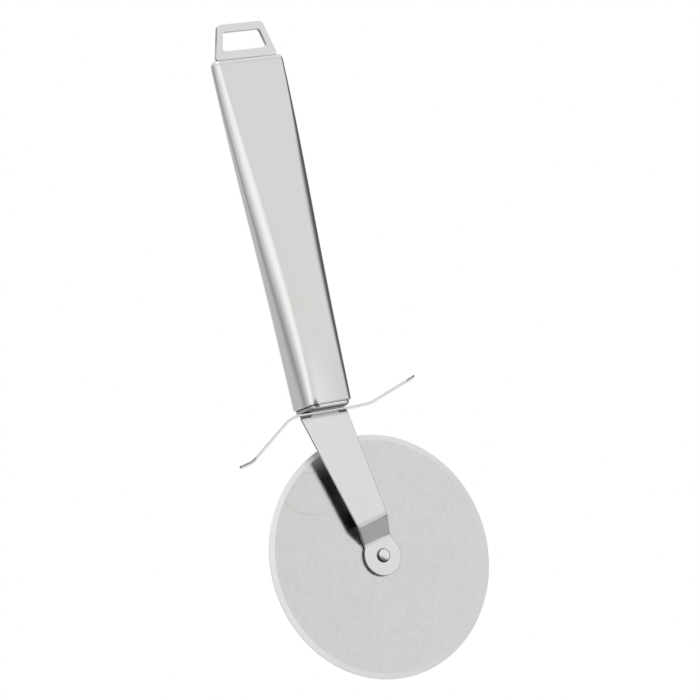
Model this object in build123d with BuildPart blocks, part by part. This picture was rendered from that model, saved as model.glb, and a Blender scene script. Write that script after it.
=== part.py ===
from build123d import *
from math import atan2, cos, radians, sin
import os

# Frame: the origin is the hang point, in the middle of the loop opening's upper edge.
# Z runs up along the handle, X across its broad face, and the blade's seen face looks to -Y.

# Loop plate
loop_thickness = 1.5
loop_rail_height = 2.5
loop_opening_height = 5.9
loop_foot_height = 2.8
loop_top_width = 15.2
loop_foot_width = 21.3
opening_top_width = 12.6
opening_foot_width = 15.7
loop_outer_radius = 1.5
loop_foot_radius = 0.9
loop_inner_radius = 0.9
loop_edge_round = 0.12
tongue_width = 12.0
tongue_showing = 1.0

# Handle tube, flattened from a round one: broad and thin above, narrow and deep below
tube_length = 107.3
tube_wall = 0.7
tube_top_width = 24.6
tube_top_depth = 4.2
tube_upper_width = 23.6
tube_upper_depth = 5.7
tube_middle_width = 22.4
tube_middle_depth = 7.4
tube_lower_width = 18.7
tube_lower_depth = 11.3
tube_foot_width = 15.6
tube_foot_depth = 12.6
tube_edge_round = 0.2
station_shares = (0.0, 0.336, 0.658, 0.823, 1.0)
corner_shares = (0.19, 0.345, 0.43, 0.43, 0.43)

# Shoulder plug that closes the tube's top
shoulder_height = 2.0
shoulder_margin = 0.3
shoulder_crown = 0.35
top_plug_height = 6.0
plug_clearance = 0.05
slot_clearance = 0.05

# End cap under the tube
cap_rim_height = 1.65
cap_inset = 0.12
cap_rim_round = 0.8
cap_skirt_height = 6.0
cap_wall = 0.8
cap_floor = 1.0

# Finger guard: a strip along X whose wings are folded on slanted lines
guard_thickness = 0.6
guard_width = 5.2
guard_slant = 28.0
guard_left_flat = 10.0
guard_left_run = 13.9
guard_left_drop = 11.25
guard_curl_run = 4.1
guard_curl_drop = 0.95
guard_middle_flat = 8.6
guard_lift_run = 5.8
guard_lift_rise = 0.35
guard_right_run = 15.0
guard_right_rise = 5.9
guard_left_radius = 7.0
guard_curl_radius = 6.5
guard_lift_radius = 20.0
guard_right_radius = 6.0
guard_corner_radius = 0.9
guard_edge_round = 0.1

# Arm: tang, skewed tapering strip, joggle and ear
arm_thickness = 1.0
arm_reach = 45.45
arm_sideways = 10.8
land_width = 9.9
land_height = 0.5
arm_left_half = 8.3
arm_right_half = 7.8
waist_left_half = 5.4
waist_right_half = 5.35
joggle_depth = 3.2
joggle_length = 5.5
joggle_to_axle = 5.3
joggle_radius = 0.8
ear_radius = 6.15
neck_left_share = 0.72
neck_right_share = 0.85
neck_radius = 1.0
tang_width = 9.0
tang_length = 12.0

# Wheel and its axle
wheel_diameter = 75.0
wheel_thickness = 0.9
bevel_width = 2.0
edge_thickness = 0.25
axle_diameter = 5.0
axle_running_clearance = 0.05
wheel_side_gap = 0.1
spacer_thickness = 0.4
spacer_diameter = 9.4
rear_washer_thickness = 0.4
rear_washer_diameter = 9.6
rivet_neck_diameter = 2.6
rivet_head_diameter = 4.4
rivet_head_height = 1.3
rear_head_diameter = 7.6
rear_head_height = 1.1
rim_share = 0.2

# Weld beads inside the tube
weld_leg = 0.7
weld_length_share = 0.8

# Cuts and blanks run past their faces by this much
overrun = 2.0

# Closer than this counts as the same place or direction
same_place = 0.01

# Levels along Z, down from the hang point
opening_foot_level = -loop_opening_height
loop_foot_level = opening_foot_level - loop_foot_height
tube_top_level = loop_foot_level - shoulder_height
tube_foot_level = tube_top_level - tube_length
cap_foot_level = tube_foot_level - cap_rim_height
guard_foot_level = cap_foot_level - guard_thickness
wheel_level = guard_foot_level - arm_reach

# Places along Y, from the ear's front to the rivet's rear head
ear_front = joggle_depth - arm_thickness / 2
ear_back = ear_front + arm_thickness
spacer_back = ear_back + spacer_thickness
wheel_front = spacer_back + wheel_side_gap
wheel_back = wheel_front + wheel_thickness
rear_washer_front = wheel_back + wheel_side_gap
rear_washer_back = rear_washer_front + rear_washer_thickness

# The tube's stations, from its foot up
tube_widths = (tube_foot_width, tube_lower_width, tube_middle_width, tube_upper_width, tube_top_width)
tube_depths = (tube_foot_depth, tube_lower_depth, tube_middle_depth, tube_upper_depth, tube_top_depth)
stations = range(len(station_shares))
foot_station = stations[0]
top_station = stations[-1]


def tube_section(station, inset):
    """Width, depth and corner radius of the tube at one station, drawn in by an inset."""
    corner = tube_depths[station] * corner_shares[station]
    width = tube_widths[station] - 2 * inset
    depth = tube_depths[station] - 2 * inset
    return width, depth, corner - inset


# The tube is one wall of even thickness, smooth through its stations.
with BuildPart() as handle_tube:
    for inset, mode in ((0, Mode.ADD), (tube_wall, Mode.SUBTRACT)):
        for station in stations:
            with BuildSketch(Plane.XY.offset(tube_foot_level + tube_length * station_shares[station])):
                RectangleRounded(*tube_section(station, inset))
        loft(mode=mode)
    foot_face = handle_tube.faces().sort_by(Axis.Z)[0]
    fillet(foot_face.outer_wire().edges(), radius=tube_edge_round)
handle_tube.part.label = "handle_tube"

# The room inside the tube, less a fit's clearance. Both end plugs are cut from it.
with BuildPart() as tube_room:
    for station in stations:
        with BuildSketch(Plane.XY.offset(tube_foot_level + tube_length * station_shares[station])):
            RectangleRounded(*tube_section(station, tube_wall + plug_clearance))
    loft()

# The closure's shoulder is crowned from the tube's outline to a margin round the loop's foot, and
# its plug fits inside the tube. A slot through both takes the loop's tongue.
plug_foot_level = tube_top_level - top_plug_height
tongue_depth = shoulder_height + top_plug_height + tongue_showing
shoulder_top_width = loop_foot_width + 2 * shoulder_margin
shoulder_top_depth = loop_thickness + 2 * shoulder_margin
with BuildPart() as top_closure:
    with BuildSketch(Plane.XY.offset(plug_foot_level)):
        Rectangle(tube_top_width + overrun, tube_upper_depth + overrun)
    extrude(amount=top_plug_height)
    add(tube_room.part, mode=Mode.INTERSECT)
    with BuildSketch(Plane.XY.offset(tube_top_level)):
        RectangleRounded(*tube_section(top_station, 0))
    with BuildSketch(Plane.XY.offset(tube_top_level + shoulder_height / 2)):
        RectangleRounded(*tube_section(top_station, shoulder_crown))
    with BuildSketch(Plane.XY.offset(loop_foot_level)):
        top_corner = shoulder_top_depth * corner_shares[top_station]
        RectangleRounded(shoulder_top_width, shoulder_top_depth, top_corner)
    loft()
    with BuildSketch(Plane.XY.offset(plug_foot_level - overrun)):
        Rectangle(tongue_width + 2 * slot_clearance, loop_thickness + 2 * slot_clearance)
    extrude(amount=tongue_depth + overrun, mode=Mode.SUBTRACT)
top_closure.part.label = "top_closure"

# The loop is a plate with a trapezoid opening. Its tongue goes down through the closure.
with BuildPart() as hanging_loop:
    with BuildSketch(Plane.XZ):
        with BuildLine():
            Polyline(
                (-loop_foot_width / 2, loop_foot_level),
                (loop_foot_width / 2, loop_foot_level),
                (loop_top_width / 2, loop_rail_height),
                (-loop_top_width / 2, loop_rail_height),
                close=True,
            )
        make_face()
        fillet(vertices().group_by(Axis.Y)[-1], radius=loop_outer_radius)
        fillet(vertices().group_by(Axis.Y)[0], radius=loop_foot_radius)
        with BuildLine():
            FilletPolyline(
                (-opening_foot_width / 2, opening_foot_level),
                (opening_foot_width / 2, opening_foot_level),
                (opening_top_width / 2, 0),
                (-opening_top_width / 2, 0),
                radius=loop_inner_radius,
                close=True,
            )
        make_face(mode=Mode.SUBTRACT)
    extrude(amount=loop_thickness / 2, both=True)
    fillet(hanging_loop.faces().filter_by(Axis.Y).edges(), radius=loop_edge_round)
    with BuildSketch(Plane.XY.offset(loop_foot_level)):
        Rectangle(tongue_width, loop_thickness)
    extrude(amount=-tongue_depth)
hanging_loop.part.label = "hanging_loop"

# Two weld beads hold the tongue under the closure's plug, one on each side.
with BuildPart() as loop_weld:
    with BuildSketch(Plane.YZ):
        with BuildLine():
            Polyline(
                (loop_thickness / 2, plug_foot_level),
                (loop_thickness / 2 + weld_leg, plug_foot_level),
                (loop_thickness / 2, plug_foot_level - weld_leg),
                close=True,
            )
        make_face()
    extrude(amount=tongue_width * weld_length_share / 2, both=True)
    mirror(about=Plane.XZ)
loop_weld.part.label = "loop_weld"

# The end cap is a pressed cup: a rim with a rounded edge below the tube, and a skirt inside it.
cap_floor_level = cap_foot_level + cap_floor
with BuildPart() as end_cap:
    with BuildSketch(Plane.XY.offset(tube_foot_level)):
        Rectangle(tube_lower_width + overrun, tube_foot_depth + overrun)
    extrude(amount=cap_skirt_height)
    add(tube_room.part, mode=Mode.INTERSECT)
    with BuildSketch(Plane.XY.offset(cap_foot_level)):
        RectangleRounded(*tube_section(foot_station, cap_inset))
    extrude(amount=cap_rim_height)
    fillet(end_cap.edges().group_by(Axis.Z)[0], radius=cap_rim_round)
    with BuildSketch(Plane.XY.offset(cap_floor_level)):
        RectangleRounded(*tube_section(foot_station, tube_wall + plug_clearance + cap_wall))
    extrude(amount=cap_rim_height + cap_skirt_height, mode=Mode.SUBTRACT)
    with BuildSketch(Plane.XY.offset(cap_foot_level)):
        Rectangle(tang_width + 2 * slot_clearance, arm_thickness + 2 * slot_clearance)
    extrude(amount=cap_floor + overrun, both=True, mode=Mode.SUBTRACT)
end_cap.part.label = "end_cap"

# Two weld beads hold the tang on the cap's floor, one on each side.
with BuildPart() as tang_weld:
    with BuildSketch(Plane.YZ):
        with BuildLine():
            Polyline(
                (arm_thickness / 2, cap_floor_level),
                (arm_thickness / 2 + weld_leg, cap_floor_level),
                (arm_thickness / 2, cap_floor_level + weld_leg),
                close=True,
            )
        make_face()
    extrude(amount=tang_width * weld_length_share / 2, both=True)
    mirror(about=Plane.XZ)
tang_weld.part.label = "tang_weld"

# The guard's bent section lies square to its fold lines. The strip's outline, seen from above, is a
# slanted four-sided blank with its long sides along X.
slant = radians(guard_slant)
guard_plane = Plane(origin=(0, 0, guard_foot_level), x_dir=(cos(slant), -sin(slant), 0),
                    z_dir=(-sin(slant), -cos(slant), 0))
left_bend = -guard_left_flat
left_curl = left_bend - guard_left_run
left_tip = left_curl - guard_curl_run
right_bend = guard_middle_flat + guard_lift_run
right_tip = right_bend + guard_right_run
right_tip_rise = guard_lift_rise + guard_right_rise
curl_slope = guard_curl_drop / guard_curl_run
right_slope = guard_right_rise / guard_right_run


def outline_place(along, side):
    """Point of the blank's edge on the slanted line at this distance along the section."""
    edge = side * guard_width / 2
    return along / cos(slant) - edge * sin(slant) / cos(slant), -edge


with BuildPart() as finger_guard:
    with BuildSketch(guard_plane):
        with BuildLine():
            FilletPolyline(
                (left_tip - overrun, -guard_left_drop - guard_curl_drop - overrun * curl_slope),
                (left_curl, -guard_left_drop),
                (left_bend, 0),
                (guard_middle_flat, 0),
                (right_bend, guard_lift_rise),
                (right_tip + overrun, right_tip_rise + overrun * right_slope),
                radius=[guard_curl_radius, guard_left_radius, guard_lift_radius, guard_right_radius],
            )
            offset(amount=guard_thickness, side=Side.LEFT)
        make_face()
    extrude(amount=guard_width + right_tip, both=True)
    with BuildSketch(Plane.XY.offset(guard_foot_level)):
        with BuildLine():
            FilletPolyline(
                outline_place(left_tip, 1),
                outline_place(right_tip, 1),
                outline_place(right_tip, -1),
                outline_place(left_tip, -1),
                radius=guard_corner_radius,
                close=True,
            )
        make_face()
    extrude(amount=guard_left_drop + guard_curl_drop + right_tip_rise, both=True, mode=Mode.INTERSECT)
    rims = finger_guard.faces().filter_by(lambda f: abs(f.normal_at().Z) < same_place)
    fillet(rims.edges().filter_by(Axis.Z, reverse=True), radius=guard_edge_round)
    with BuildSketch(Plane.XY.offset(guard_foot_level)):
        Rectangle(tang_width + 2 * slot_clearance, arm_thickness + 2 * slot_clearance)
    extrude(amount=guard_thickness + overrun, both=True, mode=Mode.SUBTRACT)
finger_guard.part.label = "finger_guard"

# The arm leaves the guard askew. Its joggle's bend lines are square to it.
skew = atan2(arm_sideways, arm_reach)
axle_plane = Plane(origin=(arm_sideways, 0, wheel_level))
axle_line = Axis((arm_sideways, 0, wheel_level), (0, 1, 0))
joggle_plane = Plane(origin=(arm_sideways, 0, wheel_level), x_dir=(0, 1, 0),
                     z_dir=(cos(skew), 0, sin(skew)))
joggle_top = joggle_to_axle + joggle_length
shoulder_level = guard_foot_level - land_height
arm_top = arm_reach + tang_length


def arm_point(across, up):
    """X and Z of a point given across and up the skewed arm from the axle."""
    return (arm_sideways + across * cos(skew) - up * sin(skew),
            wheel_level + across * sin(skew) + up * cos(skew))


with BuildPart() as wheel_arm:
    with BuildSketch(joggle_plane):
        with BuildLine():
            FilletPolyline(
                (ear_front, -ear_radius - overrun),
                (ear_front, joggle_to_axle),
                (-arm_thickness / 2, joggle_top),
                (-arm_thickness / 2, arm_top + overrun),
                radius=joggle_radius,
            )
            offset(amount=arm_thickness, side=Side.RIGHT)
        make_face()
    extrude(amount=arm_left_half + tang_length, both=True)
    with BuildSketch(Plane.XZ) as arm_outline:
        with BuildLine():
            Polyline(
                (-arm_left_half, shoulder_level),
                arm_point(-waist_left_half, joggle_top),
                arm_point(-ear_radius * neck_left_share, joggle_to_axle),
                arm_point(-ear_radius * neck_left_share, 0),
                arm_point(ear_radius * neck_right_share, 0),
                arm_point(ear_radius * neck_right_share, joggle_to_axle),
                arm_point(waist_right_half, joggle_top),
                (arm_right_half, shoulder_level),
                close=True,
            )
        make_face()
        with Locations((arm_sideways, wheel_level)):
            Circle(ear_radius)
        axle_point = Vector(arm_sideways, wheel_level)
        necks = vertices().filter_by(lambda v: abs((Vector(v) - axle_point).length - ear_radius) < same_place)
        fillet(necks, radius=neck_radius)
        with Locations((arm_sideways, wheel_level)):
            Circle(rivet_neck_diameter / 2, mode=Mode.SUBTRACT)
        with Locations((0, shoulder_level)):
            Rectangle(land_width, land_height, align=(Align.CENTER, Align.MIN))
            Rectangle(tang_width, land_height + tang_length, align=(Align.CENTER, Align.MIN))
    extrude(amount=ear_back + overrun, both=True, mode=Mode.INTERSECT)
wheel_arm.part.label = "wheel_arm"

# The wheel is a disc ground to a thin edge from both faces.
wheel_middle = (wheel_front + wheel_back) / 2
with BuildPart() as cutting_wheel:
    with BuildSketch(axle_plane):
        with BuildLine():
            Polyline(
                (axle_diameter / 2 + axle_running_clearance, wheel_front),
                (wheel_diameter / 2 - bevel_width, wheel_front),
                (wheel_diameter / 2, wheel_middle - edge_thickness / 2),
                (wheel_diameter / 2, wheel_middle + edge_thickness / 2),
                (wheel_diameter / 2 - bevel_width, wheel_back),
                (axle_diameter / 2 + axle_running_clearance, wheel_back),
                close=True,
            )
        make_face()
    revolve(axis=axle_line)
cutting_wheel.part.label = "cutting_wheel"

# The rivet clamps the ear and the spacer between its domed head and its shoulder. The wheel turns on
# the shoulder, held by a washer and the rear head. Each head has a low rim under its dome.
front_rim_level = ear_front - rivet_head_height * rim_share
rear_rim_level = rear_washer_back + rear_head_height * rim_share


def ball_radius(half_width, rise):
    """Radius of the ball whose cap has this half width and rise."""
    return (half_width ** 2 + rise ** 2) / (2 * rise)


with BuildPart() as axle_rivet:
    with BuildSketch(axle_plane):
        with BuildLine():
            Polyline(
                (rivet_head_diameter / 2, front_rim_level),
                (rivet_head_diameter / 2, ear_front),
                (rivet_neck_diameter / 2, ear_front),
                (rivet_neck_diameter / 2, spacer_back),
                (axle_diameter / 2, spacer_back),
                (axle_diameter / 2, rear_washer_back),
                (rear_head_diameter / 2, rear_washer_back),
                (rear_head_diameter / 2, rear_rim_level),
            )
            RadiusArc((rear_head_diameter / 2, rear_rim_level), (0, rear_washer_back + rear_head_height),
                      -ball_radius(rear_head_diameter / 2, rear_head_height * (1 - rim_share)))
            Line((0, rear_washer_back + rear_head_height), (0, ear_front - rivet_head_height))
            RadiusArc((0, ear_front - rivet_head_height), (rivet_head_diameter / 2, front_rim_level),
                      -ball_radius(rivet_head_diameter / 2, rivet_head_height * (1 - rim_share)))
        make_face()
    revolve(axis=axle_line)
axle_rivet.part.label = "axle_rivet"

# The spacer sits on the rivet's neck, between the ear and the shoulder.
with BuildPart() as spacer_washer:
    with BuildSketch(axle_plane):
        with BuildLine():
            Polyline(
                (rivet_neck_diameter / 2, ear_back),
                (spacer_diameter / 2, ear_back),
                (spacer_diameter / 2, spacer_back),
                (rivet_neck_diameter / 2, spacer_back),
                close=True,
            )
        make_face()
    revolve(axis=axle_line)
spacer_washer.part.label = "spacer_washer"

# The rear washer is pressed on the shoulder's end, under the rear head.
with BuildPart() as rear_washer:
    with BuildSketch(axle_plane):
        with BuildLine():
            Polyline(
                (axle_diameter / 2, rear_washer_front),
                (rear_washer_diameter / 2, rear_washer_front),
                (rear_washer_diameter / 2, rear_washer_back),
                (axle_diameter / 2, rear_washer_back),
                close=True,
            )
        make_face()
    revolve(axis=axle_line)
rear_washer.part.label = "rear_washer"

os.makedirs("parts", exist_ok=True)
for piece in (handle_tube, top_closure, hanging_loop, loop_weld, end_cap, tang_weld, finger_guard,
              wheel_arm, cutting_wheel, axle_rivet, spacer_washer, rear_washer):
    export_step(piece.part, f"parts/{piece.part.label}.step")
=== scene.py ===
from math import atan2, cos, pi, radians, sin

import bpy
import numpy as np
from mathutils import Matrix, Vector


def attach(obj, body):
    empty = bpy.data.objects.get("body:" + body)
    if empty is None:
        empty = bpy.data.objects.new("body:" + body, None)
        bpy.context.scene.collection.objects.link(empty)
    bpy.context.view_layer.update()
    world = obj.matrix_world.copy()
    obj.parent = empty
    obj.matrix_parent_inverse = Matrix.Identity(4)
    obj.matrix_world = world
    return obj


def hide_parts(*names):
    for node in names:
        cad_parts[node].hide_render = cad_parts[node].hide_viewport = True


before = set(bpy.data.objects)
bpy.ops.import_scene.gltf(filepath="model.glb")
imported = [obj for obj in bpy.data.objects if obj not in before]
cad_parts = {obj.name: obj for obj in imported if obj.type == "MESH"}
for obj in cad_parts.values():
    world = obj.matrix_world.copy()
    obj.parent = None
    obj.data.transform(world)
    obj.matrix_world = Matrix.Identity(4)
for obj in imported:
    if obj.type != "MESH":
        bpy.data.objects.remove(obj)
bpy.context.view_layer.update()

# Handle tube
# One length of stainless tube, pressed flat and wide at the top and left narrow and deep at the
# foot. It is satin brushed along its length, and its foot is rolled in a little to meet the cap.
TUBE_TOP, TUBE_FOOT = -10.7, -118.0
TUBE_SHARES = (0.0, 0.336, 0.658, 0.823, 1.0)
TUBE_WIDTHS = (15.95, 18.97, 22.36, 23.82, 24.62)
TUBE_MIDDLE, RIGHT_TRIM = -0.08, 1.1
RIGHT_TIGHTENS_FROM, RIGHT_TIGHTER = 0.6, 0.5
TUBE_DEPTHS = (11.9, 10.3, 7.0, 5.6, 4.2)
CORNER_WIDTHS = (3.1, 4.98, 4.25, 3.2, 2.2)
CORNER_DEPTHS = (4.9, 4.89, 2.9, 2.45, 1.95)
CORNER_POWERS = (3.45, 2.97, 2.35, 2.1, 2.0)
CORNER_STEPS, SMALLEST_REACH = 30, 0.05
FLAT_SHARES = (0.04, 0.35, 0.65, 0.96)
TUBE_LIP = 0.6
TUBE_RINGS, LIP_RINGS = 120, 8
section_laws = [np.polyfit(TUBE_SHARES, sizes, 4) for sizes in
                (TUBE_WIDTHS, TUBE_DEPTHS, CORNER_WIDTHS, CORNER_DEPTHS, CORNER_POWERS)]


def tube_section(level):
    """Width and depth of the tube, its corners' reach and squareness, its middle and right corners."""
    share = (level - TUBE_FOOT) / (TUBE_TOP - TUBE_FOOT)
    width, depth, along, across, power = (float(np.polyval(law, share)) for law in section_laws)
    rise = min(max((share - RIGHT_TIGHTENS_FROM) / (1 - RIGHT_TIGHTENS_FROM), 0.0), 1.0)
    tighter = 1 - RIGHT_TIGHTER * rise * rise * (3 - 2 * rise)
    trim = RIGHT_TRIM * (1 - tighter)
    return (width - trim, depth, along, min(across, 0.49 * depth), power, TUBE_MIDDLE - trim / 2,
            tighter)


def rounded_ring(width, depth, along, across, power, middle, tighter, level, inset=0.0):
    """Points round a box with oval corners at a level, tighter on the right, drawn in by an inset."""
    half_x, half_y = width / 2 - inset, depth / 2 - inset
    corners = []
    for turn, (side_x, side_y) in enumerate(((1, 1), (-1, 1), (-1, -1), (1, -1))):
        share = tighter if side_x > 0 else 1.0
        reach_x = max(along * share - inset, SMALLEST_REACH)
        reach_y = max(across * share - inset, SMALLEST_REACH)
        corner = []
        for step in range(CORNER_STEPS + 1):
            angle = step * pi / (2 * CORNER_STEPS)
            bulge_x = cos(angle) ** (2 / power) if step < CORNER_STEPS else 0.0
            bulge_y = sin(angle) ** (2 / power)
            corner.append((middle + side_x * (half_x - reach_x * (1 - bulge_x)),
                           side_y * (half_y - reach_y * (1 - bulge_y)), level))
        corners.append(corner if turn % 2 == 0 else corner[::-1])
    ring = []
    for corner, following in zip(corners, corners[1:] + corners[:1]):
        last, after = corner[-1], following[0]
        ring += corner + [(last[0] + (after[0] - last[0]) * share,
                           last[1] + (after[1] - last[1]) * share, level)
                          for share in FLAT_SHARES]
    return ring


def hang_mesh(name, points, faces, sharp_angle=32):
    """A smooth shaded piece from points in millimetres, in the frame's own place."""
    mesh = bpy.data.meshes.new(name)
    mesh.from_pydata([[value / 1000 for value in point] for point in points], [], faces)
    mesh.validate()
    mesh.shade_smooth()
    mesh.set_sharp_from_angle(angle=radians(sharp_angle))
    piece = bpy.data.objects.new(name, mesh)
    bpy.context.scene.collection.objects.link(piece)
    return piece


def join_rings(rings, first_cap=False, last_cap=False):
    """Points and faces of a skin over closed rings that all have the same number of points."""
    count = len(rings[0])
    points = [point for ring in rings for point in ring]
    faces = []
    for row in range(len(rings) - 1):
        for step in range(count):
            after = (step + 1) % count
            faces.append((row * count + step, row * count + after,
                          (row + 1) * count + after, (row + 1) * count + step))
    if first_cap:
        faces.append(tuple(range(count - 1, -1, -1)))
    if last_cap:
        faces.append(tuple((len(rings) - 1) * count + step for step in range(count)))
    return points, faces


class Number:
    """A number socket, so that shader sums are written as sums."""

    def __init__(self, finish, socket):
        self.finish, self.socket = finish, socket

    def of(self, operation, first, second):
        made = self.finish.node("Math", {"operation": operation}, {0: first, 1: second})
        return Number(self.finish, made.outputs[0])

    def __add__(self, other):
        return self.of("ADD", self, other)

    def __sub__(self, other):
        return self.of("SUBTRACT", self, other)

    def __mul__(self, other):
        return self.of("MULTIPLY", self, other)

    def __truediv__(self, other):
        return self.of("DIVIDE", self, other)

    def __pow__(self, other):
        return self.of("POWER", self, other)

    def __rsub__(self, other):
        return self.of("SUBTRACT", other, self)

    __radd__ = __add__
    __rmul__ = __mul__


class Finish:
    """The nodes of one finish, each made from its type, its settings and what its sockets get."""

    def __init__(self, tree):
        self.tree = tree
        tree.nodes.clear()

    def node(self, kind, settings=None, inputs=None):
        made = self.tree.nodes.new("ShaderNode" + kind)
        for name, value in (settings or {}).items():
            if name == "stops":
                for extra in value[2:]:
                    made.color_ramp.elements.new(extra[0])
                for stop, (place, grey) in zip(made.color_ramp.elements, value):
                    stop.position, stop.color = place, (grey, grey, grey, 1)
            elif name == "blend":
                made.color_ramp.interpolation = value
            else:
                setattr(made, name, value)
        for key, value in (inputs or {}).items():
            value = value.socket if isinstance(value, Number) else value
            if isinstance(value, bpy.types.NodeSocket):
                self.tree.links.new(value, made.inputs[key])
            else:
                made.inputs[key].default_value = value
        return made

    def number(self, kind, settings=None, inputs=None):
        return Number(self, self.node(kind, settings, inputs).outputs[0])

    def grain(self, per_metre, detail):
        """Noise in the piece's own frame, with so many grains to the metre along X, Y and Z."""
        place = self.node("TexCoord").outputs["Object"]
        scaled = self.node("VectorMath", {"operation": "MULTIPLY"}, {0: place, 1: per_metre})
        return self.number("TexNoise", {}, {"Vector": scaled.outputs[0], "Scale": 1.0,
                                            "Detail": detail, "Roughness": 0.5})

    def place(self):
        """Where a point is in the piece's own frame, in millimetres."""
        apart = self.node("SeparateXYZ", {}, {0: self.node("TexCoord").outputs["Object"]})
        return [Number(self, socket) * 1000 for socket in apart.outputs]

    def facing(self):
        """Which way the surface looks in the piece's own frame, each number from -1 to 1."""
        apart = self.node("SeparateXYZ", {}, {0: self.node("TexCoord").outputs["Normal"]})
        return [Number(self, socket) for socket in apart.outputs]

    def step(self, value, low, high, first=0.0, last=1.0):
        """A soft step from first to last, as a number goes from low to high."""
        return self.number("MapRange", {"interpolation_type": "SMOOTHSTEP"},
                           {0: value, 1: low, 2: high, 3: first, 4: last})

    def shade(self, colour, share):
        """A colour made darker: a share of 1 leaves it, 0 makes it black."""
        made = self.node("VectorMath", {"operation": "SCALE"}, {0: colour, "Scale": share})
        return made.outputs[0]

    def tint(self, share, first, second):
        """A colour between two, each a value or a socket, by a share from 0 to 1."""
        first, second = ((*end, 1) if isinstance(end, tuple) else end for end in (first, second))
        return self.node("Mix", {"data_type": "RGBA"}, {0: share, 6: first, 7: second}).outputs[2]


def metal(name, nodes, recipe):
    """A metal finish on CAD nodes or pieces, from a recipe.

    The recipe gives colour, roughness, height and the height's depth in metres.
    """
    material = bpy.data.materials.new(name)
    material.use_nodes = True
    finish = Finish(material.node_tree)
    colour, roughness, height, depth = recipe(finish)
    inputs = {"Base Color": colour, "Metallic": 1.0, "Roughness": roughness}
    bump = finish.node("Bump", {}, {"Strength": 1.0, "Distance": depth, "Height": height})
    inputs["Normal"] = bump.outputs["Normal"]
    steel = finish.node("BsdfPrincipled", {}, inputs)
    finish.node("OutputMaterial", {}, {"Surface": steel.outputs[0]})
    for piece in nodes:
        piece.data.materials.clear()
        piece.data.materials.append(material)


# Places of a painted shade spot and a painted highlight on the tube's front near the foot.
DARK_SPOT_ACROSS, DARK_SPOT_LEVEL, DARK_SPOT_REACH, DARK_SPOT_FRONT = -5.2, -118.2, (0.3, 1.15), (-1.0, 0.0)
SHEEN_LEVELS, SHEEN_START, SHEEN_SPAN = (-116.0, -97.0), (-5.5, -3.5), (-4.5, 6.5)


def satin_handle(finish):
    streaks = finish.grain((900, 900, 22), 3.0)
    hairs = finish.grain((5200, 5200, 90), 2.0)
    patches = finish.grain((45, 45, 28), 1.0)
    warmth = finish.tint(patches, (0.728, 0.708, 0.690), (0.711, 0.706, 0.701))
    sideways = finish.step(finish.facing()[0] ** 2, 0.05, 0.5, 0.2, 1.0)
    darker = finish.node("Mix", {"data_type": "RGBA", "blend_type": "MULTIPLY"},
                         {0: streaks * sideways, 6: warmth, 7: (0.80, 0.80, 0.80, 1)})
    across, along, level = finish.place()
    # Painted shade: a dark spot on the front near the left corner of the foot.
    from_dark_spot = ((across - DARK_SPOT_ACROSS) ** 2 + ((level - DARK_SPOT_LEVEL) * 0.4) ** 2) ** 0.5
    painted_shade = finish.step(from_dark_spot, *DARK_SPOT_REACH, 0.72, 0.0)
    painted_shade = painted_shade * finish.step(along, *DARK_SPOT_FRONT, 1.0, 0.0)
    # Painted highlight: the front is lightened left of the middle towards the foot and dimmed towards
    # the right.
    sheen = (finish.step(level, *SHEEN_LEVELS, 0.12, 0.0) * finish.step(across, *SHEEN_START) *
             finish.step(across, *SHEEN_SPAN, 1.0, -0.6))
    return (finish.shade(darker.outputs[2], (1.0 - painted_shade) * (1.0 + sheen)), 0.14 + streaks * 0.07,
            hairs, 0.000004)


tube_rings = []
for step in range(TUBE_RINGS + 1):
    level = TUBE_TOP + (TUBE_FOOT + TUBE_LIP - TUBE_TOP) * step / TUBE_RINGS
    tube_rings.append(rounded_ring(*tube_section(level), level))
for step in range(1, LIP_RINGS + 1):
    angle = step / LIP_RINGS * pi / 2
    level = TUBE_FOOT + TUBE_LIP * (1 - sin(angle))
    tube_rings.append(rounded_ring(*tube_section(level), level, inset=TUBE_LIP * (1 - cos(angle))))
handle_shell = hang_mesh("handle_shell", *join_rings(tube_rings))
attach(handle_shell, "handle")
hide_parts("handle_tube")
metal("satin tube steel", [handle_shell], satin_handle)

# Top closure
# The pressed shoulder that closes the tube's top. It rolls softly from the tube's outline to a low
# crown round the loop's foot, and it is welded flush and polished with the tube.
LOOP_FOOT = -8.7
CROWN_WIDTH, CROWN_DEPTH, CROWN_CORNER = 21.9, 2.1, 0.45
SHOULDER_RINGS = 24
ROLL_LEVELS, CROWN_LEVELS = (-10.6, -9.9), (-9.2, -8.72)
outline = tube_section(TUBE_TOP)
crown_corner = CROWN_DEPTH * CROWN_CORNER
crown = (CROWN_WIDTH, CROWN_DEPTH, crown_corner, crown_corner, 2.0, 0.0, 1.0)
shoulder_rings = []
for step in range(SHOULDER_RINGS + 1):
    angle = step / SHOULDER_RINGS * pi / 2
    drawn_in = 1 - cos(angle)
    shoulder_rings.append(rounded_ring(
        *(edge + (top - edge) * drawn_in for edge, top in zip(outline, crown)),
        TUBE_TOP + (LOOP_FOOT - TUBE_TOP) * sin(angle)))
shoulder = hang_mesh("shoulder", *join_rings(shoulder_rings, last_cap=True), sharp_angle=60)
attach(shoulder, "handle")
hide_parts("top_closure")


def satin_shoulder(finish):
    colour, roughness, height, depth = satin_handle(finish)
    level = finish.place()[2]
    # Painted shade: the roll is dimmed as it rises, and darker still at the crown round the loop's
    # foot.
    roll = finish.step(level, *ROLL_LEVELS, 1.0, 0.76) * finish.step(level, *CROWN_LEVELS, 1.0, 0.5)
    return finish.shade(colour, roll), roughness, height, depth


metal("shoulder steel", [shoulder], satin_shoulder)

# Hanging loop
# A stamped plate with a trapezoid opening. Its sheared edges are painted darker, as painted shade
# that deepens towards the top, and a painted shade line darkens its foot. Its tongue runs down
# through the shoulder, where it is welded out of sight.
EDGE_FADE_LEVELS, LOOP_FOOT_SHADE_LEVELS = (-6.0, -1.5), (-8.68, -8.36)


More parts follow.
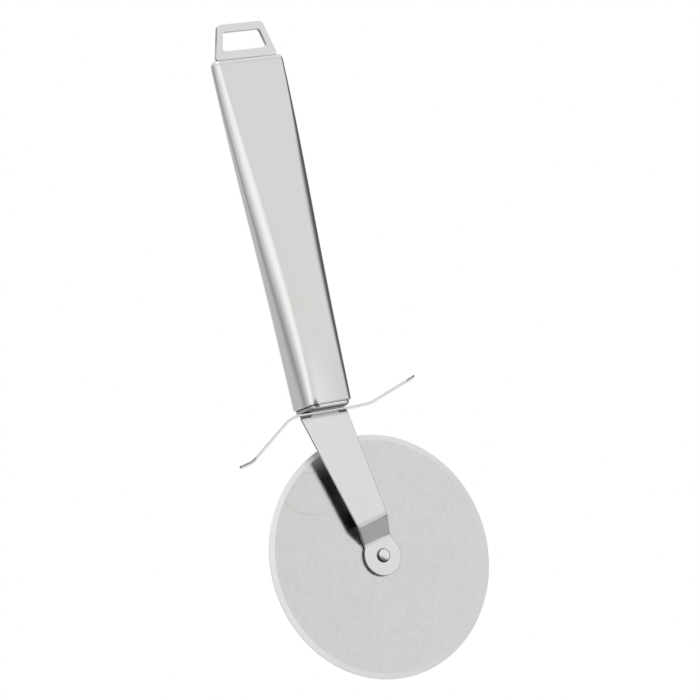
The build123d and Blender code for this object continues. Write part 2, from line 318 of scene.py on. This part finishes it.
def satin_plate(finish):
    brushing = finish.grain((2600, 2600, 500), 3.0)
    clouds = finish.grain((160, 160, 160), 2.0)
    colour = finish.tint(clouds, (0.690, 0.690, 0.688), (0.735, 0.735, 0.733))
    level = finish.place()[2]
    # Painted shade on the edge walls, darker towards the top.
    flat = finish.step(finish.facing()[1] ** 2, 0.15, 0.65)
    lit = flat + (1.0 - flat) * finish.step(level, *EDGE_FADE_LEVELS, 0.72, 0.42)
    # Painted shade: a dark line along the foot, where the plate meets the shoulder.
    foot = finish.step(level, *LOOP_FOOT_SHADE_LEVELS, 0.66, 1.0)
    return finish.shade(colour, lit * foot), 0.17 + brushing * 0.08, brushing, 0.000004


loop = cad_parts["hanging_loop"]
metal("loop steel", [loop], satin_plate)


def weld_bead(finish):
    ripples = finish.grain((900, 2600, 2600), 3.0)
    colour = finish.tint(ripples, (0.30, 0.28, 0.25), (0.52, 0.50, 0.47))
    return colour, 0.35 + ripples * 0.25, ripples, 0.00008


metal("weld bead", [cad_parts[name] for name in ("loop_weld", "tang_weld")],
      weld_bead)

# End cap
# A pressed cup that closes the tube's foot. Its rim bulges out as a polished bead, which shows as a
# bright bar under a fine seam, and turns under to the guard. Painted shade darkens its underside by
# the guard, a band on its left and a spot near its front left corner.
CAP_FOOT = -119.65
CAP_PROFILE = ((0.90, -117.9), (0.52, -118.02), (0.26, -118.12), (0.13, -118.26), (0.08, -118.46),
               (0.10, -118.68), (0.20, -118.92), (0.42, -119.16), (0.74, -119.37), (1.14, -119.52),
               (1.66, -119.61), (2.40, CAP_FOOT))
CAP_NARROWER, CAP_SHIFT = 1.35, 0.12
CAP_UNDERSIDE, CAP_LEFT, CAP_RIGHT = (-119.25, -118.65), (-7.5, -5.5), (4.5, 8.0)
DIM_FROM, DIM_TO = (-9.2, -8.2), (-6.4, -5.6)
SPOT_ACROSS, SPOT_LEVELS = -4.9, (-118.95, -118.55)


def polished_cap(finish):
    smears = finish.grain((300, 300, 1400), 2.0)
    light = finish.tint(smears, (0.70, 0.70, 0.695), (0.76, 0.76, 0.755))
    across, _, level = finish.place()
    # Painted shade under the bead next to the guard, darkest at the middle of the front and lighter at
    # the sides.
    thin = finish.step(across, *CAP_LEFT, 0.45, 0.2) + finish.step(across, *CAP_RIGHT, 0.0, 0.45)
    painted_shade = finish.step(level + smears * 0.25, *CAP_UNDERSIDE, thin, 1.0)
    # Painted shade dims a band on the bead's left, and a painted shade spot darkens it near the front
    # left corner.
    left = finish.step(across, *DIM_FROM, 1.0, 0.55)
    left = left + (1.0 - left) * finish.step(across, *DIM_TO)
    spot = finish.step((across - SPOT_ACROSS) ** 2, 0.2, 1.2, 0.8, 0.0)
    spot = spot * finish.step(level, *SPOT_LEVELS)
    return finish.shade(light, painted_shade * left * (1.0 - spot)), 0.12 + smears * 0.1, smears, 0.000003


cap_width, *cap_corners, cap_middle, cap_tighter = tube_section(TUBE_FOOT)
cap_section = (cap_width - CAP_NARROWER, *cap_corners, cap_middle - CAP_SHIFT, cap_tighter)
bead = hang_mesh("cap_bead", *join_rings(
    [rounded_ring(*cap_section, level, inset) for inset, level in CAP_PROFILE], last_cap=True))
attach(bead, "handle")
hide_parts("end_cap")
metal("cap steel", [bead], polished_cap)

# Finger guard
# A thin strip bent to a shallow S, trapped between the cap and the arm. Its long edges are rounded
# and it is bright rolled.
GUARD_SLANT = radians(28)
LEFT_TIP, RIGHT_TIP = (-22.9, -22.3), (28.6, 29.3)


def rolled_strip(finish):
    lines = finish.grain((120, 3600, 600), 2.0)
    across, along, _ = finish.place()
    square_on = across * cos(GUARD_SLANT) - along * sin(GUARD_SLANT)
    # Painted shade: both tips are darkened on their faces that do not look up.
    under = finish.step(finish.facing()[2], 0.1, 0.5, 1.0, 0.0)
    tips = finish.step(square_on, *LEFT_TIP, 0.56, 0.0) + finish.step(across, *RIGHT_TIP, 0.0, 0.5)
    colour = finish.tint(lines, (0.66, 0.66, 0.655), (0.74, 0.74, 0.735))
    return finish.shade(colour, 1.0 - tips * under), 0.12 + lines * 0.08, lines, 0.000003


metal("guard steel", [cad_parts["finger_guard"]], rolled_strip)

# Arm
# A stamped strip that carries the wheel on one side. It leaves the guard askew, tapers, steps back
# in a joggle, and ends in a round ear. Its joggle, edges and rear are painted darker as shade, a
# painted shadow lies under the guard, and dark blocks fill the notches at its top as painted shadow.
AXLE_X, AXLE_LEVEL = 10.8, -165.7
ARM_RISE = 45.45
ARM_SKEW = atan2(AXLE_X, ARM_RISE)
JOGGLE_TOP, JOGGLE_FOOT = (11.1, 12.7), (4.1, 5.1)
EDGE_LEVELS, GUARD_SHADOW = (-134.0, -129.0), (-121.75, -120.35)
REAR_LEVELS, DULL_LEVELS = (-140.0, -132.0), (-140.0, -130.0)
REAR_JOGGLE_TOP, REAR_JOGGLE_FOOT = (-153.0, -148.0), (-160.0, -157.0)
ARM_ROUNDING, POINTS_APART, EDGE_ANGLE = 0.22, 0.002, radians(38)


def arm_plate(finish):
    brushing = finish.grain((1800, 1800, 240), 3.0)
    clouds = finish.grain((110, 110, 70), 2.0)
    across, _, level = finish.place()
    up_arm = (level - AXLE_LEVEL) * cos(ARM_SKEW) - (across - AXLE_X) * sin(ARM_SKEW)
    on_joggle = finish.step(up_arm, *JOGGLE_TOP, 1.0, 0.0) * finish.step(up_arm, *JOGGLE_FOOT)
    flats = finish.tint(clouds, (0.708, 0.708, 0.706), (0.765, 0.765, 0.763))
    # Painted shade: the joggle's colour is darker, with soft edges at its bends.
    shaded_joggle = finish.tint(clouds, (0.566, 0.567, 0.550), (0.612, 0.612, 0.604))
    steel = finish.tint(on_joggle, flats, shaded_joggle)
    back = finish.facing()[1]
    # Painted shade on the edges and their rounding, deeper on the upper arm.
    painted_edge_shade = finish.step(back ** 2, 0.3, 0.72, finish.step(level, *EDGE_LEVELS, 0.62, 0.44), 1.0)
    # Painted shade on the rear face, lower down and behind the joggle, which darkens its reflection in
    # the blade.
    joggle_rear = (finish.step(level, *REAR_JOGGLE_TOP, 0.4, 0.0) *
                   finish.step(level, *REAR_JOGGLE_FOOT))
    at_back = finish.step(back, 0.0, 0.5)
    rear = 1.0 - at_back * (finish.step(level, *REAR_LEVELS, 0.4, 0.0) + joggle_rear)
    # Painted shadow on the arm just under the guard.
    under_guard = finish.step(level + clouds * 0.3, *GUARD_SHADOW, 1.0, 0.56)
    dull = at_back * finish.step(level, *DULL_LEVELS, 0.0, 0.6)
    return (finish.shade(steel, under_guard * rear * painted_edge_shade), 0.15 + brushing * 0.08 + dull,
            brushing, 0.000004)


def soften(piece, width):
    """Join a piece's split points and round its edges, by a width in millimetres."""
    joined = piece.modifiers.new("joined", "WELD")
    joined.merge_threshold = POINTS_APART / 1000
    edges = piece.modifiers.new("edges", "BEVEL")
    edges.width, edges.segments, edges.harden_normals = width / 1000, 2, True
    edges.limit_method, edges.angle_limit = "ANGLE", EDGE_ANGLE


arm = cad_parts["wheel_arm"]
soften(arm, ARM_ROUNDING)
metal("arm steel", [arm], arm_plate)


# Dark blocks that stand in for the shadow in the notches between the arm's shoulders and the guard:
# painted shadow.
def notch_shadow_paint(finish):
    shadow_mottle = finish.grain((2400, 2400, 2400), 3.0)
    colour = finish.tint(shadow_mottle, (0.08, 0.08, 0.078), (0.20, 0.20, 0.196))
    return colour, 0.55 + shadow_mottle * 0.2, shadow_mottle, 0.00003


NOTCH_SHADOW_TOP, NOTCH_SHADOW_FOOT, NOTCH_SHADOW_HALF_DEPTH, NOTCH_SHADOW_ROUNDING = -120.31, -120.80, 0.42, 0.1
for name, left, right in (("left_notch_shadow", -8.15, -5.0), ("right_notch_shadow", 5.0, 7.65)):
    rings = [[(left, along, NOTCH_SHADOW_FOOT), (right, along, NOTCH_SHADOW_FOOT), (right, along, NOTCH_SHADOW_TOP),
              (left, along, NOTCH_SHADOW_TOP)] for along in (-NOTCH_SHADOW_HALF_DEPTH, NOTCH_SHADOW_HALF_DEPTH)]
    notch_shadow = hang_mesh(name, *join_rings(rings, first_cap=True, last_cap=True))
    soften(notch_shadow, NOTCH_SHADOW_ROUNDING)
    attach(notch_shadow, "handle")
    metal(name.replace("_", " "), [notch_shadow], notch_shadow_paint)

# Cutting wheel
# A round blade blanked from sheet, ground to a bevel all round on both faces. The faces keep the
# mottle of tumbling, with one faint drying mark on the front, and the bevel is coarser and brighter.
WHEEL_RADIUS, BEVEL_WIDTH = 37.46, 1.75
BEVEL_START, BEVEL_BLUR = WHEEL_RADIUS - BEVEL_WIDTH, 0.1
BLADE_MIDDLE = 4.65
FRONT_PROFILE = ((2.55, 4.25), (2.60, 4.20), (3.2, 4.20), (12, 4.20), (24, 4.20), (35.5, 4.20),
                 (35.65, 4.202), (35.8, 4.210), (36.0, 4.226), (37.2, 4.324), (37.40, 4.342),
                 (WHEEL_RADIUS, 4.48))
BACK_PROFILE = tuple((radius, 2 * BLADE_MIDDLE - along) for radius, along in FRONT_PROFILE[::-1])
WHEEL_PROFILE = (BACK_PROFILE[-1], *FRONT_PROFILE, *BACK_PROFILE)
WHEEL_TURNS = 240
MARK_ACROSS, MARK_LEVEL, MARK_HALF_WIDTH, MARK_HALF_HEIGHT = -6.2, -143.3, 11.0, 6.4
MARK_INSIDE, MARK_OUTSIDE = (0.94, 0.985), (1.015, 1.06)
MARK_END, MARK_FRONT = (-7.0, -1.0), (4.4, 4.6)


def lathe(name, profile, turns):
    """A turned piece on the axle's line, from radii and places along Y."""
    rings = [[(AXLE_X + radius * cos(2 * pi * turn / turns), along,
               AXLE_LEVEL + radius * sin(2 * pi * turn / turns)) for turn in range(turns)]
             for radius, along in profile]
    return hang_mesh(name, *join_rings(rings))


def axle_distance(across, level):
    """How far a point is from the axle's line."""
    return ((across - AXLE_X) ** 2 + (level - AXLE_LEVEL) ** 2) ** 0.5


def blade_face(finish):
    across, along, level = finish.place()
    from_axle = axle_distance(across, level)
    bevel = finish.step(from_axle, BEVEL_START - BEVEL_BLUR, BEVEL_START + BEVEL_BLUR)
    mottle = finish.grain((850, 850, 850), 3.0)
    clouds = finish.grain((75, 75, 75), 2.0)
    face = finish.tint(clouds * 0.35 + mottle * 0.65, (0.588, 0.588, 0.585), (0.728, 0.728, 0.726))
    mark_across, mark_up = (across - MARK_ACROSS) / MARK_HALF_WIDTH, level - MARK_LEVEL
    from_mark = (mark_across ** 2 + (mark_up / MARK_HALF_HEIGHT) ** 2) ** 0.5
    mark = (finish.step(from_mark, *MARK_INSIDE) * finish.step(from_mark, *MARK_OUTSIDE, 1.0, 0.0) *
            finish.step(across, *MARK_END, 1.0, 0.0) * finish.step(along, *MARK_FRONT, 1.0, 0.0))
    face = finish.tint(mark * (0.1 + mottle * 0.9), face, (0.58, 0.58, 0.50))
    ground = finish.tint(clouds, (0.745, 0.745, 0.745), (0.81, 0.81, 0.81))
    # Painted highlight: the outermost edge of the bevel is lightened.
    rim = finish.step(from_axle, WHEEL_RADIUS - 0.1, WHEEL_RADIUS - 0.03)
    ground = finish.tint(rim, ground, (0.93, 0.93, 0.93))
    colour = finish.tint(bevel, face, ground)
    return colour, 0.14 + mottle * 0.05 + bevel * 0.36, mottle * (1.0 - bevel), 0.000006


blade = lathe("blade", WHEEL_PROFILE, WHEEL_TURNS)
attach(blade, "wheel")
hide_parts("cutting_wheel")
metal("blade steel", [blade], blade_face)

# Axle rivet and washers
# A shouldered rivet with a low button head on the ear and a wide domed one behind the wheel. It
# clamps the ear and the spacer, and the wheel turns on its shoulder.
RIVET_PROFILE = ((0.02, 1.62), (0.8, 1.62), (1.45, 1.63), (1.66, 1.67), (1.82, 1.78), (1.96, 1.98),
                 (2.10, 2.22), (2.18, 2.45), (2.20, 2.70), (1.30, 2.70), (1.30, 4.10), (2.50, 4.10),
                 (2.50, 5.60), (3.80, 5.60), (3.80, 5.82), (3.70, 5.92), (3.2, 6.16), (2.4, 6.44),
                 (1.4, 6.63), (0.6, 6.69), (0.02, 6.70))
RIVET_TURNS = 96
LEAN_ACROSS, LEAN_UP = 0.55, 0.83
HEAD_BACK, FLANK_REACH = (2.72, 2.76), (1.62, 1.92)


def polished_rivet(finish):
    smears = finish.grain((700, 700, 700), 2.0)
    across, along, level = finish.place()
    steel = finish.tint(smears, (0.72, 0.72, 0.72), (0.80, 0.80, 0.80))
    head = finish.step(along, *HEAD_BACK, 1.0, 0.0)
    # Painted shade: the head's flank is darkened all round and most at the lower left, and the lower
    # left of the head is darkened too.
    leaning = (across - AXLE_X) * LEAN_ACROSS + (level - AXLE_LEVEL) * LEAN_UP
    flank = finish.step(axle_distance(across, level) + leaning * 0.07, *FLANK_REACH) * head
    low_left = finish.step(leaning, -1.6, 0.9, 0.12, 0.32)
    lower_left_shade = finish.step(leaning, -1.5, -0.45, 0.72, 0.0) * head
    return (finish.shade(steel, (1.0 - flank * (1.0 - low_left)) * (1.0 - lower_left_shade)),
            0.06 + smears * 0.06, smears, 0.000002)


rivet = lathe("rivet", RIVET_PROFILE, RIVET_TURNS)
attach(rivet, "handle")
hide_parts("axle_rivet")
metal("rivet steel", [rivet], polished_rivet)


def plain_washer(finish):
    turning = finish.grain((1500, 1500, 1500), 2.0)
    colour = finish.tint(turning, (0.56, 0.56, 0.56), (0.64, 0.64, 0.64))
    return colour, 0.22 + turning * 0.1, turning, 0.000004


metal("washer steel",
      [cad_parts[name] for name in ("spacer_washer", "rear_washer")], plain_washer)

# Studio
# A pale floor well below the hanging cutter, a white surround, and dark screens at both sides that
# only show in the steel. One broad soft lamp hangs overhead.
FLOOR_LEVEL, FLOOR_RADIUS, FLOOR_SIDES = -450.0, 1200.0, 96
SURROUND = ((-180, .74), (-164, .84), (-148, .98), (-134, 1.12), (-118, 1.22), (-104, 1.26),
            (-94, 1.28), (-86, 1.29), (-79, 1.18), (-73, .99), (-67, .87), (-61, .97), (-55, 1.0),
            (-49, .95), (-42, .82), (-34, .48), (-23, .14), (-7, .11), (12, .13), (30, .2),
            (46, .68), (60, 1.0), (80, .98), (98, .80), (110, .66), (119, .79), (125, .63),
            (131, .47), (138, .42), (148, .48), (160, .56), (180, .74))
SCREEN_PEAK, OVERHEAD_SPAN, OVERHEAD_LIGHT = 1.5, (0.30, 0.75), 1.35
LAMP_AT, LAMP_AIM = Vector((-0.1, -0.25, 0.9)), Vector((0, 0, -0.1))
LAMP_SIZE, LAMP_POWER = 0.8, 1.2
world = bpy.data.worlds.new("studio")
bpy.context.scene.world = world
world.use_nodes = True
studio = Finish(world.node_tree)
way = studio.node("SeparateXYZ", {}, {0: studio.node("TexCoord").outputs["Generated"]})
round_share = studio.number("Math", {"operation": "ARCTAN2"},
                            {0: way.outputs["Y"], 1: way.outputs["X"]}) / (2 * pi) + 0.5
stops = [((angle + 180) / 360, light / SCREEN_PEAK) for angle, light in SURROUND]
screens = studio.number("ValToRGB", {"stops": stops, "blend": "B_SPLINE"}, {0: round_share})
screens = screens * SCREEN_PEAK
overhead = studio.step(way.outputs["Z"], *OVERHEAD_SPAN)
around = screens + overhead * (OVERHEAD_LIGHT - screens)
ray = studio.node("LightPath")
in_steel = studio.tint(ray.outputs["Is Glossy Ray"], (1, 1, 1), around)
lit = studio.tint(ray.outputs["Is Diffuse Ray"], in_steel, (0.75, 0.75, 0.75))
surround = studio.node("Background", {}, {"Color": lit, "Strength": 1.0})
studio.node("OutputWorld", {}, {"Surface": surround.outputs[0]})

floor_angles = [2 * pi * step / FLOOR_SIDES for step in range(FLOOR_SIDES)]
floor_points = [(FLOOR_RADIUS * cos(angle), FLOOR_RADIUS * sin(angle), FLOOR_LEVEL)
                for angle in floor_angles]
floor = hang_mesh("floor", floor_points, [tuple(range(FLOOR_SIDES))])
floor_paint = bpy.data.materials.new("pale floor")
floor_paint.use_nodes = True
paint = Finish(floor_paint.node_tree)
across, along, _ = paint.place()
grit = paint.grain((40, 40, 40), 2.0)
from_middle = (across ** 2 + along ** 2) ** 0.5
fade = paint.step(from_middle, FLOOR_RADIUS * 0.28, FLOOR_RADIUS * 0.88)
greys = paint.tint(grit, (0.70, 0.70, 0.70), (0.72, 0.72, 0.72))
pale = paint.node("BsdfPrincipled", {}, {"Base Color": greys, "Roughness": 0.9})
through = paint.node("BsdfTransparent", {}, {"Color": (1, 1, 1, 1)})
thinned = paint.node("MixShader", {}, {0: fade, 1: pale.outputs[0], 2: through.outputs[0]})
paint.node("OutputMaterial", {}, {"Surface": thinned.outputs[0]})
floor.data.materials.append(floor_paint)

softbox = bpy.data.objects.new("softbox", bpy.data.lights.new("softbox", "AREA"))
softbox.data.shape = "SQUARE"
softbox.data.size = LAMP_SIZE
softbox.data.energy = LAMP_POWER
softbox.location = LAMP_AT
softbox.rotation_euler = (LAMP_AIM - LAMP_AT).to_track_quat("-Z", "Y").to_euler()
bpy.context.scene.collection.objects.link(softbox)

# Camera
# The photograph was taken from the left and a little below, with a long lens, and the cutter leans
# to the left in it.
CAMERA_AT, CAMERA_AIM = Vector((-0.4799, -0.9051, -0.2140)), Vector((0.01335, 0.0, -0.1025))
CAMERA_LENS, CAMERA_LEAN = 174.96, radians(-12.47)
camera = bpy.data.objects.new("camera", bpy.data.cameras.new("camera"))
camera.data.lens = CAMERA_LENS
camera.location = CAMERA_AT
aim = (CAMERA_AIM - CAMERA_AT).to_track_quat("-Z", "Y").to_matrix()
camera.rotation_euler = (aim @ Matrix.Rotation(CAMERA_LEAN, 3, "Z")).to_euler()
bpy.context.scene.collection.objects.link(camera)
bpy.context.scene.camera = camera
bpy.context.scene.view_settings.view_transform = "Standard"
